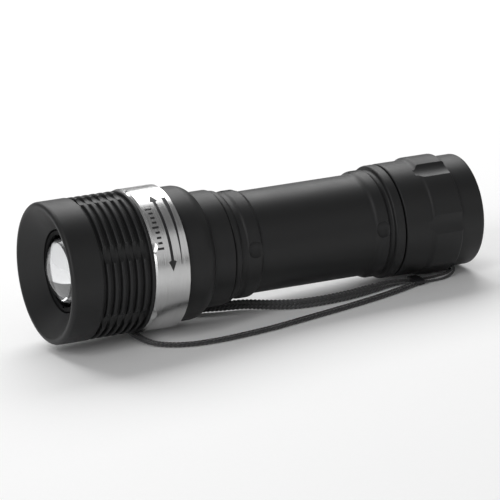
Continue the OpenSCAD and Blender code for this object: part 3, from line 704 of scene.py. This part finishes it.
def dress_nodes(materials):
    """Materials of the CAD pieces that stay as they are."""
    for slot, names in NODE_SLOTS.items():
        for name in names:
            dress(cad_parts[name], materials[slot])
    for name in ("cell_1", "cell_2", "cell_3"):
        dress(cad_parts[name], cell_wrap(name))


# ---- Lens, boot and print ----


def turned_piece(name, outline, sides):
    """A closed piece turned about the X axis from (x, radius) points; radius 0 is a pole."""
    points = []
    rings = []
    for x, r in outline:
        if r == 0:
            rings.append([len(points)])
            points.append((x, 0, 0))
        else:
            rings.append(list(range(len(points), len(points) + sides)))
            for k in range(sides):
                angle = 2 * math.pi * k / sides
                points.append((x, r * math.cos(angle), r * math.sin(angle)))
    faces = []
    for a, b in zip(rings, rings[1:]):
        for k in range(sides):
            m = (k + 1) % sides
            if len(a) == len(b) == 1:
                break
            if len(a) == 1:
                faces.append((a[0], b[m], b[k]))
            elif len(b) == 1:
                faces.append((a[k], a[m], b[0]))
            else:
                faces.append((a[k], a[m], b[m], b[k]))
    return make_piece(name, points, faces)


# Edge thickness, dome radius, flat land round the dome and the step between them
LENS_EDGE = 1.6 * MM
LENS_DOME_R = 13 * MM
LENS_LAND = 0.35 * MM
LENS_STEP = 0.05 * MM
LENS_CORNER = 0.12 * MM
LENS_STEPS = 40
LENS_SIDES = 192
LENS_SHARP = math.radians(25)
LENS_BACK_RINGS = (0.95, 0.7, 0.4, 0.1)


def make_lens(material):
    """The lens: a flat back, a thin edge and a domed face, finely meshed."""
    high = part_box("lens")[1]
    back_x = high.x
    front_x = back_x - LENS_EDGE
    lens_r = high.y
    dome_r = lens_r - LENS_LAND
    reach = math.asin(dome_r / LENS_DOME_R)
    centre_x = front_x + LENS_DOME_R * math.cos(reach)
    outline = []
    for i in range(LENS_STEPS + 1):
        angle = reach * i / LENS_STEPS
        outline.append((centre_x - LENS_DOME_R * math.cos(angle), LENS_DOME_R * math.sin(angle)))
    outline[0] = (outline[0][0], 0)
    outline += [(front_x, dome_r + LENS_STEP), (front_x, lens_r - LENS_CORNER)]
    outline += [(front_x + LENS_CORNER, lens_r), (back_x - LENS_CORNER, lens_r)]
    outline += [(back_x, lens_r - LENS_CORNER)]
    outline += [(back_x, lens_r * share) for share in LENS_BACK_RINGS] + [(back_x, 0)]
    lens = turned_piece("domed_lens", outline, LENS_SIDES)
    lens.data.set_sharp_from_angle(angle=LENS_SHARP)
    dress(lens, material)
    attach(lens, "lens_group")
    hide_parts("lens")


BOOT_R = 6.9 * MM
BOOT_WALL = 1.2 * MM
BOOT_CORNER = 2.4 * MM
BOOT_CORNER_STEPS = 12
BOOT_INNER_CORNER = 1.4 * MM
BOOT_INNER_RING = 2 * MM
FLANGE_CORNER = 0.1 * MM
FLANGE_FILLET = 0.25 * MM
FACE_STEPS = 40
FACE_DROP = 0.1 * MM
# Height and pitch of the ring ribs; the face sinks by a rib over its outer third
RIB_HEIGHT = 0.09 * MM
RIB_PITCH = 0.9 * MM
SINK_RATE = 3
BOOT_SIDES = 128
BOOT_SHARP = math.radians(50)


def make_boot(material):
    """The rubber boot: a flange, a round-edged cover and fine ring ribs on its slightly sunk face."""
    low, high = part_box("switch_boot")
    flange_r = high.y
    top_x = high.x
    flange_x = low.x
    cover_x = flange_x + BOOT_WALL
    inner_r = BOOT_R - BOOT_WALL
    outline = [(flange_x, inner_r), (flange_x, flange_r - FLANGE_CORNER)]
    outline += [(flange_x + FLANGE_CORNER, flange_r), (cover_x - FLANGE_CORNER, flange_r)]
    outline += [(cover_x, flange_r - FLANGE_CORNER), (cover_x, BOOT_R + FLANGE_FILLET)]
    outline.append((cover_x + FLANGE_FILLET, BOOT_R))
    corner_x = top_x - BOOT_CORNER
    face_r = BOOT_R - BOOT_CORNER
    for i in range(BOOT_CORNER_STEPS + 1):
        angle = math.pi / 2 * i / BOOT_CORNER_STEPS
        outline.append((corner_x + BOOT_CORNER * math.sin(angle), face_r + BOOT_CORNER * math.cos(angle)))
    for i in range(1, FACE_STEPS + 1):
        share = i / FACE_STEPS
        r = face_r * (1 - share)
        rib = RIB_HEIGHT * (0.5 + 0.5 * math.cos(2 * math.pi * r / RIB_PITCH))
        outline.append((top_x - FACE_DROP + rib - RIB_HEIGHT * min(1, share * SINK_RATE), r))
    outline[-1] = (outline[-1][0], 0)
    inner_top = top_x - BOOT_WALL
    outline += [(inner_top, 0), (inner_top, BOOT_INNER_RING), (inner_top, inner_r - BOOT_INNER_CORNER)]
    outline += [(inner_top - BOOT_INNER_CORNER, inner_r), outline[0]]
    boot = turned_piece("rubber_switch_boot", outline, BOOT_SIDES)
    boot.data.set_sharp_from_angle(angle=BOOT_SHARP)
    dress(boot, material)
    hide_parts("switch_boot")
    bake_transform(boot)


# The print stands just proud of the band and reaches a little into it
PRINT_R = BAND_R + 0.012 * MM
PRINT_T = 0.03 * MM


def printed_patch(outline):
    """Points and faces of a thin printed shape that hugs the band.

    outline is a list of angles round the band and a list of the low and high x at each."""
    points = []
    angles, spans = outline
    for angle, (x0, x1) in zip(angles, spans):
        for radius in (PRINT_R - PRINT_T, PRINT_R):
            for x in (x0, x1):
                points.append((x, -radius * math.cos(angle), radius * math.sin(angle)))
    faces = []
    for i in range(len(angles) - 1):
        a = i * 4
        b = a + 4
        faces += [(a + 2, a + 3, b + 3, b + 2), (a, b, b + 1, a + 1)]
        faces += [(a, a + 2, b + 2, b), (a + 1, b + 1, b + 3, a + 3)]
    faces += [(0, 1, 3, 2), (b, b + 2, b + 3, b + 1)]
    return points, faces


# Angles go round the band from its front side, up over the top. Starts and pitches of the
# ticks and the wedge are in degrees, and the wedge's thickness and growth in millimetres
ARROW_START = math.radians(3)
ARROW_END = math.radians(73)
ARROW_STEPS = 90
ARROW_HALF_STEM = 0.42 * MM
ARROW_HALF_HEAD = 1.2 * MM
ARROW_HEAD_ANGLE = math.radians(8)
ARROW_TIP = 0.02 * MM
TICKS = 9
TICK_START = 22
TICK_PITCH = 4.4
TICK_HALF = math.radians(0.9)
TICK_LONG = 1.5 * MM
TICK_SHORT = 1.0 * MM
TICK_BACK = 0.3
LONG_TICK_EVERY = 4
WEDGE_START = 8
WEDGE_PITCH = 1.5
WEDGE_STEPS = 40
WEDGE_THIN = 0.15
WEDGE_GROWTH = 1.1
# Places across the band, as shares of its width
ARROW_PLACE = 0.49
TICK_PLACE = 0.26
WEDGE_PLACE = 0.74


def arrow_outline(middle):
    """A double-headed arrow round the band: angles and the span in x at each."""
    angles = []
    spans = []
    for i in range(ARROW_STEPS + 1):
        angle = ARROW_START + (ARROW_END - ARROW_START) * i / ARROW_STEPS
        to_tip = min(abs(angle - ARROW_START), abs(ARROW_END - angle))
        half = ARROW_HALF_STEM
        if to_tip < ARROW_HEAD_ANGLE:
            half = max(ARROW_HALF_HEAD * to_tip / ARROW_HEAD_ANGLE, ARROW_TIP)
        angles.append(angle)
        spans.append((middle - half, middle + half))
    return angles, spans


def make_print(material):
    """The band's print: a double-headed arrow with plain ticks on one side and a wedge on the other."""
    width = BAND_BACK - BAND_FRONT
    shapes = [arrow_outline(BAND_FRONT + ARROW_PLACE * width)]
    tick_x = BAND_FRONT + TICK_PLACE * width
    for i in range(TICKS):
        angle = math.radians(TICK_START + i * TICK_PITCH)
        reach = TICK_SHORT if i % LONG_TICK_EVERY else TICK_LONG
        span = (tick_x - reach, tick_x + reach * TICK_BACK)
        shapes.append(([angle - TICK_HALF, angle + TICK_HALF], [span, span]))
    wedge_x = BAND_FRONT + WEDGE_PLACE * width
    wedge_angles = []
    wedge_spans = []
    for i in range(WEDGE_STEPS + 1):
        wedge_angles.append(math.radians(WEDGE_START + i * WEDGE_PITCH))
        thickness = (WEDGE_THIN + WEDGE_GROWTH * i / WEDGE_STEPS) * MM
        wedge_spans.append((wedge_x, wedge_x + thickness))
    shapes.append((wedge_angles, wedge_spans))
    points = []
    faces = []
    for shape in shapes:
        more, sides = printed_patch(shape)
        faces += [tuple(v + len(points) for v in face) for face in sides]
        points += more
    marks = make_piece("band_print", points, faces, smooth=False)
    dress(marks, material)
    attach(marks, "focus_ring")


# ---- Floor and light ----


FLOOR_SIZE = 3.0
FLOOR_STEPS = 120
FLOOR_SLOPED = 0.12
FLOOR_GAP = 0.05 * MM


def make_floor():
    """A pale floor with the torch's slope near it, level further out to both sides."""
    points = []
    for i in range(FLOOR_STEPS + 1):
        x = FLOOR_SIZE * (2 * i / FLOOR_STEPS - 1) ** 3
        level = rest_z(max(-FLOOR_SLOPED, min(FLOOR_SLOPED, x))) - FLOOR_GAP
        for y in (-FLOOR_SIZE, FLOOR_SIZE):
            points.append((x, y, level))
    faces = [(2 * i, 2 * i + 2, 2 * i + 3, 2 * i + 1) for i in range(FLOOR_STEPS)]
    floor = make_piece("floor", points, faces)
    dress(floor, floor_paper())


# Name, place, what it faces, width, height and watts of each box
LIGHTS = [
    ("top_box", (0.1, 0.8, 0.85), (0, 0, 0), 1.3, 0.8, 15),
    ("front_box", (0.5, -0.95, 0.55), (0, 0, 0), 1.0, 0.8, 1.6),
    ("left_strip", (-0.8, -0.45, 0.42), (-0.05, 0, 0), 0.14, 0.85, 4),
]
ROOM_LIGHT = 0.22


def area_light(name, place, target, width, height, watts):
    """A soft box at place that faces target."""
    data = bpy.data.lights.new(name, "AREA")
    data.shape = "RECTANGLE"
    data.size = width
    data.size_y = height
    data.energy = watts
    light = bpy.data.objects.new(name, data)
    bpy.context.scene.collection.objects.link(light)
    direction = Vector(target) - Vector(place)
    turn = direction.to_track_quat("-Z", "Y").to_matrix().to_4x4()
    light.matrix_world = Matrix.Translation(Vector(place)) @ turn


def make_lights():
    """A dim room, a large box behind and above, a weak one in front, a tall strip at the lens end."""
    world = bpy.data.worlds.new("soft_room")
    bpy.context.scene.world = world
    world.use_nodes = True
    background = world.node_tree.nodes["Background"]
    background.inputs["Color"].default_value = (1, 1, 1, 1)
    background.inputs["Strength"].default_value = ROOM_LIGHT
    for light in LIGHTS:
        area_light(*light)


bpy.context.scene.view_settings.view_transform = "Standard"
make_camera()
cords = make_cords()
materials = make_materials()
dress(cords["crimp"], materials["black_plastic"])
dress(cords["strap"], materials["braid"])
dress(cords["string"], materials["string"])
dress_nodes(materials)
make_lens(materials["lens_glass"])
make_boot(materials["boot_rubber"])
make_print(materials["ink"])
make_floor()
make_lights()
